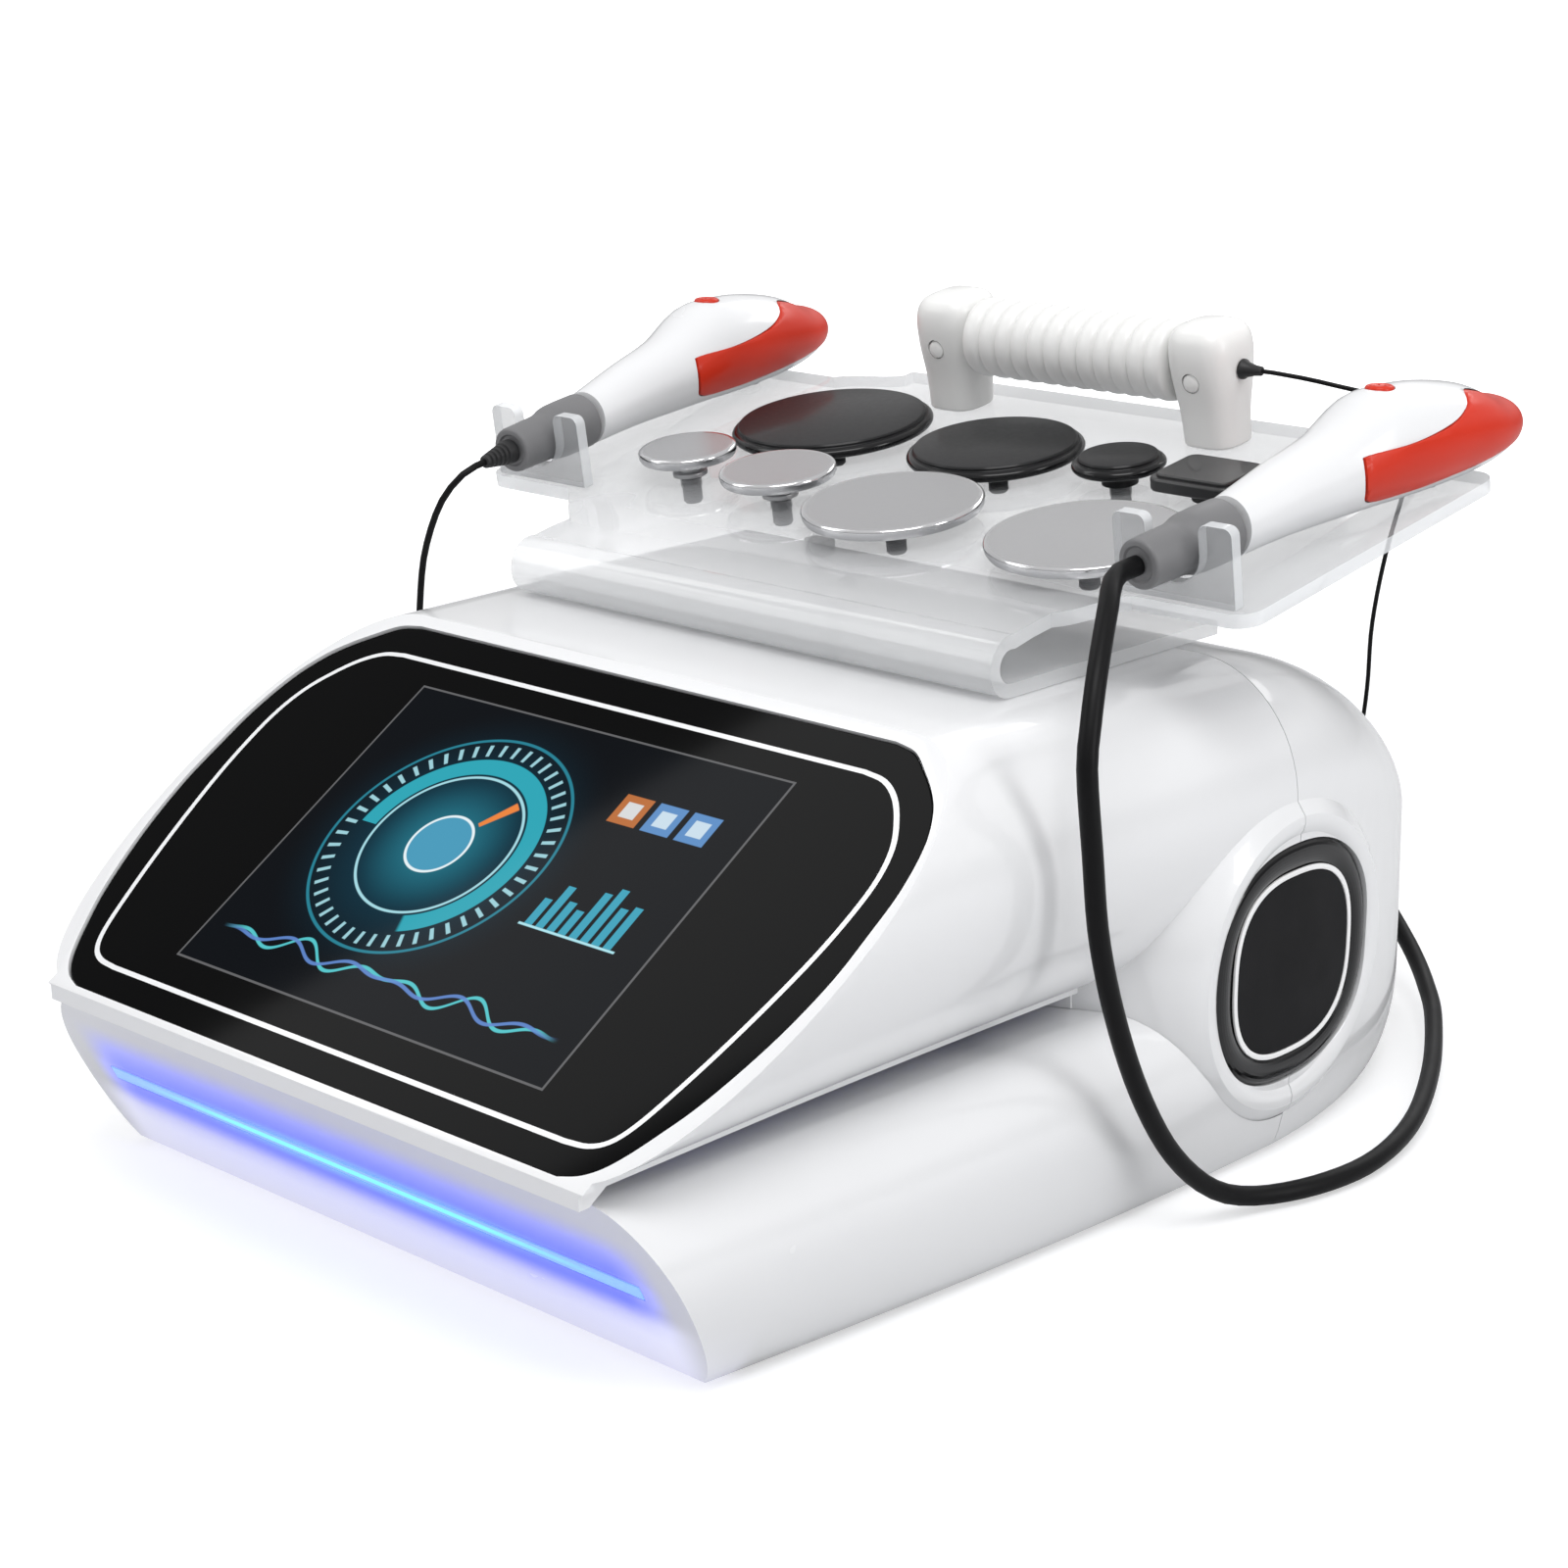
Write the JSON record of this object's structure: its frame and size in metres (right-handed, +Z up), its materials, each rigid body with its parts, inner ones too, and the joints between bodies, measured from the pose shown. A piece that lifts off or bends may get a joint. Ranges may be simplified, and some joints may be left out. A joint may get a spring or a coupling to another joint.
{
  "type": "tecar therapy machine",
  "caption": "Desktop tecar therapy machine with a sloped touch screen, a clear tray of lift-off electrodes, corded handpieces with push buttons, a ribbed body handle, a power rocker and a fan.",
  "frame": {"origin": "middle of the footprint of the machine without its cords, on the surface that it stands on", "axes": "X to the right as seen by someone facing the screen, Y from the screen to the rear panel, Z up"},
  "size_m": [0.3614, 0.4552, 0.2507],
  "materials": {
    "white_shell": "gloss",
    "white_trim": "satin",
    "warm_white": "satin",
    "black_gloss": "high gloss",
    "black_matt": "matt",
    "black_plastic": "satin",
    "screen_glass": "high gloss",
    "display": "satin",
    "clear_acrylic": "clear, polished",
    "light_diffuser": "lit, diffuse",
    "chrome": "satin with a polished rim",
    "coated_metal": "satin",
    "grey_plastic": "satin",
    "red_plastic": "gloss",
    "rubber": "matt",
    "cord_rubber": "satin",
    "panel_grey": "satin",
    "supply_case": "satin",
    "board_green": "satin"
  },
  "bodies": {
    "cabinet": {"acrylic_tray": "clear_acrylic", "base_shell": "white_shell", "display_module": "display", "fan_frame": "black_plastic", "front_foot_left": "rubber", "front_foot_right": "rubber", "handle_cord": "cord_rubber", "handle_jack": "chrome", "handle_plug": "black_plastic", "left_cap_bezel": "black_gloss", "left_cap_disc": "black_matt", "left_cap_ring": "white_trim", "left_cord": "cord_rubber", "left_fork": "clear_acrylic", "left_handpiece_jack": "chrome", "left_handpiece_plug": "black_plastic", "light_bar": "light_diffuser", "main_board": "board_green", "power_entry": "black_plastic", "power_supply": "supply_case", "rear_foot_left": "rubber", "rear_foot_right": "rubber", "rear_panel": "panel_grey", "rear_shell": "white_shell", "return_plate_jack": "chrome", "rf_generator": "board_green", "right_cap_bezel": "black_gloss", "right_cap_disc": "black_matt", "right_cap_ring": "white_trim", "right_cord": "cord_rubber", "right_fork": "clear_acrylic", "right_handpiece_jack": "chrome", "right_handpiece_plug": "black_plastic", "touch_glass": "screen_glass", "upper_housing": "white_shell"},
    "black_electrode_16_body": {"black_electrode_16": "coated_metal"},
    "black_electrode_31_body": {"black_electrode_31": "coated_metal"},
    "black_electrode_37_body": {"black_electrode_37": "coated_metal"},
    "black_plate_electrode_body": {"black_plate_electrode": "coated_metal"},
    "chrome_electrode_17_body": {"chrome_electrode_17": "chrome"},
    "chrome_electrode_20_body": {"chrome_electrode_20": "chrome"},
    "chrome_electrode_31_body": {"chrome_electrode_31": "chrome"},
    "chrome_electrode_33_body": {"chrome_electrode_33": "chrome"},
    "right_handpiece": {"right_handpiece_body": "white_shell", "right_handpiece_insert": "red_plastic", "right_handpiece_collar": "grey_plastic", "right_handpiece_socket": "chrome"},
    "right_button": {"right_handpiece_button": "red_plastic"},
    "left_handpiece": {"left_handpiece_body": "white_shell", "left_handpiece_insert": "red_plastic", "left_handpiece_collar": "grey_plastic", "left_handpiece_socket": "chrome", "left_strain_relief": "rubber"},
    "left_button": {"left_handpiece_button": "red_plastic"},
    "body_handle": {"handle_grip": "warm_white", "handle_post_left": "warm_white", "handle_post_right": "warm_white", "handle_strain_relief": "rubber"},
    "rocker": {"power_rocker": "black_plastic"},
    "rotor": {"fan_rotor": "black_plastic"}
  },
  "joints": [
    {"name": "black_electrode_16_lift", "type": "slide", "parent": "cabinet", "child": "black_electrode_16_body", "axis": [0, -0.1564, 0.9877], "range_m": [0, 0.03]},
    {"name": "black_electrode_31_lift", "type": "slide", "parent": "cabinet", "child": "black_electrode_31_body", "axis": [0, -0.1564, 0.9877], "range_m": [0, 0.03]},
    {"name": "black_electrode_37_lift", "type": "slide", "parent": "cabinet", "child": "black_electrode_37_body", "axis": [0, -0.1564, 0.9877], "range_m": [0, 0.03]},
    {"name": "black_plate_electrode_lift", "type": "slide", "parent": "cabinet", "child": "black_plate_electrode_body", "axis": [0, -0.1564, 0.9877], "range_m": [0, 0.03]},
    {"name": "chrome_electrode_17_lift", "type": "slide", "parent": "cabinet", "child": "chrome_electrode_17_body", "axis": [0, -0.1564, 0.9877], "range_m": [0, 0.03]},
    {"name": "chrome_electrode_20_lift", "type": "slide", "parent": "cabinet", "child": "chrome_electrode_20_body", "axis": [0, -0.1564, 0.9877], "range_m": [0, 0.03]},
    {"name": "chrome_electrode_31_lift", "type": "slide", "parent": "cabinet", "child": "chrome_electrode_31_body", "axis": [0, -0.1564, 0.9877], "range_m": [0, 0.03]},
    {"name": "chrome_electrode_33_lift", "type": "slide", "parent": "cabinet", "child": "chrome_electrode_33_body", "axis": [0, -0.1564, 0.9877], "range_m": [0, 0.03]},
    {"name": "right_handpiece_lift", "type": "slide", "parent": "cabinet", "child": "right_handpiece", "axis": [0, 0, 1], "range_m": [0, 0.04]},
    {"name": "right_button_press", "type": "slide", "parent": "right_handpiece", "child": "right_button", "axis": [0.0022, 0.0226, -0.9997], "range_m": [0, 0.001], "stiffness_N_per_m": 400, "springref_m": -0.0005},
    {"name": "left_handpiece_lift", "type": "slide", "parent": "cabinet", "child": "left_handpiece", "axis": [0, 0, 1], "range_m": [0, 0.04]},
    {"name": "left_button_press", "type": "slide", "parent": "left_handpiece", "child": "left_button", "axis": [-0.0022, 0.0226, -0.9997], "range_m": [0, 0.001], "stiffness_N_per_m": 400, "springref_m": -0.0005},
    {"name": "handle_lift", "type": "slide", "parent": "cabinet", "child": "body_handle", "axis": [0, -0.1564, 0.9877], "range_m": [0, 0.04]},
    {"name": "power_rocker_tilt", "type": "hinge", "parent": "cabinet", "child": "rocker", "pos_m": [-0.056, 0.2008, 0.065], "axis": [1, 0, 0], "range_deg": [-8, 8]},
    {"name": "fan_spin", "type": "hinge", "parent": "cabinet", "child": "rotor", "pos_m": [-0.006, 0.186, 0.054], "axis": [0, 1, 0], "continuous": true}
  ]
}
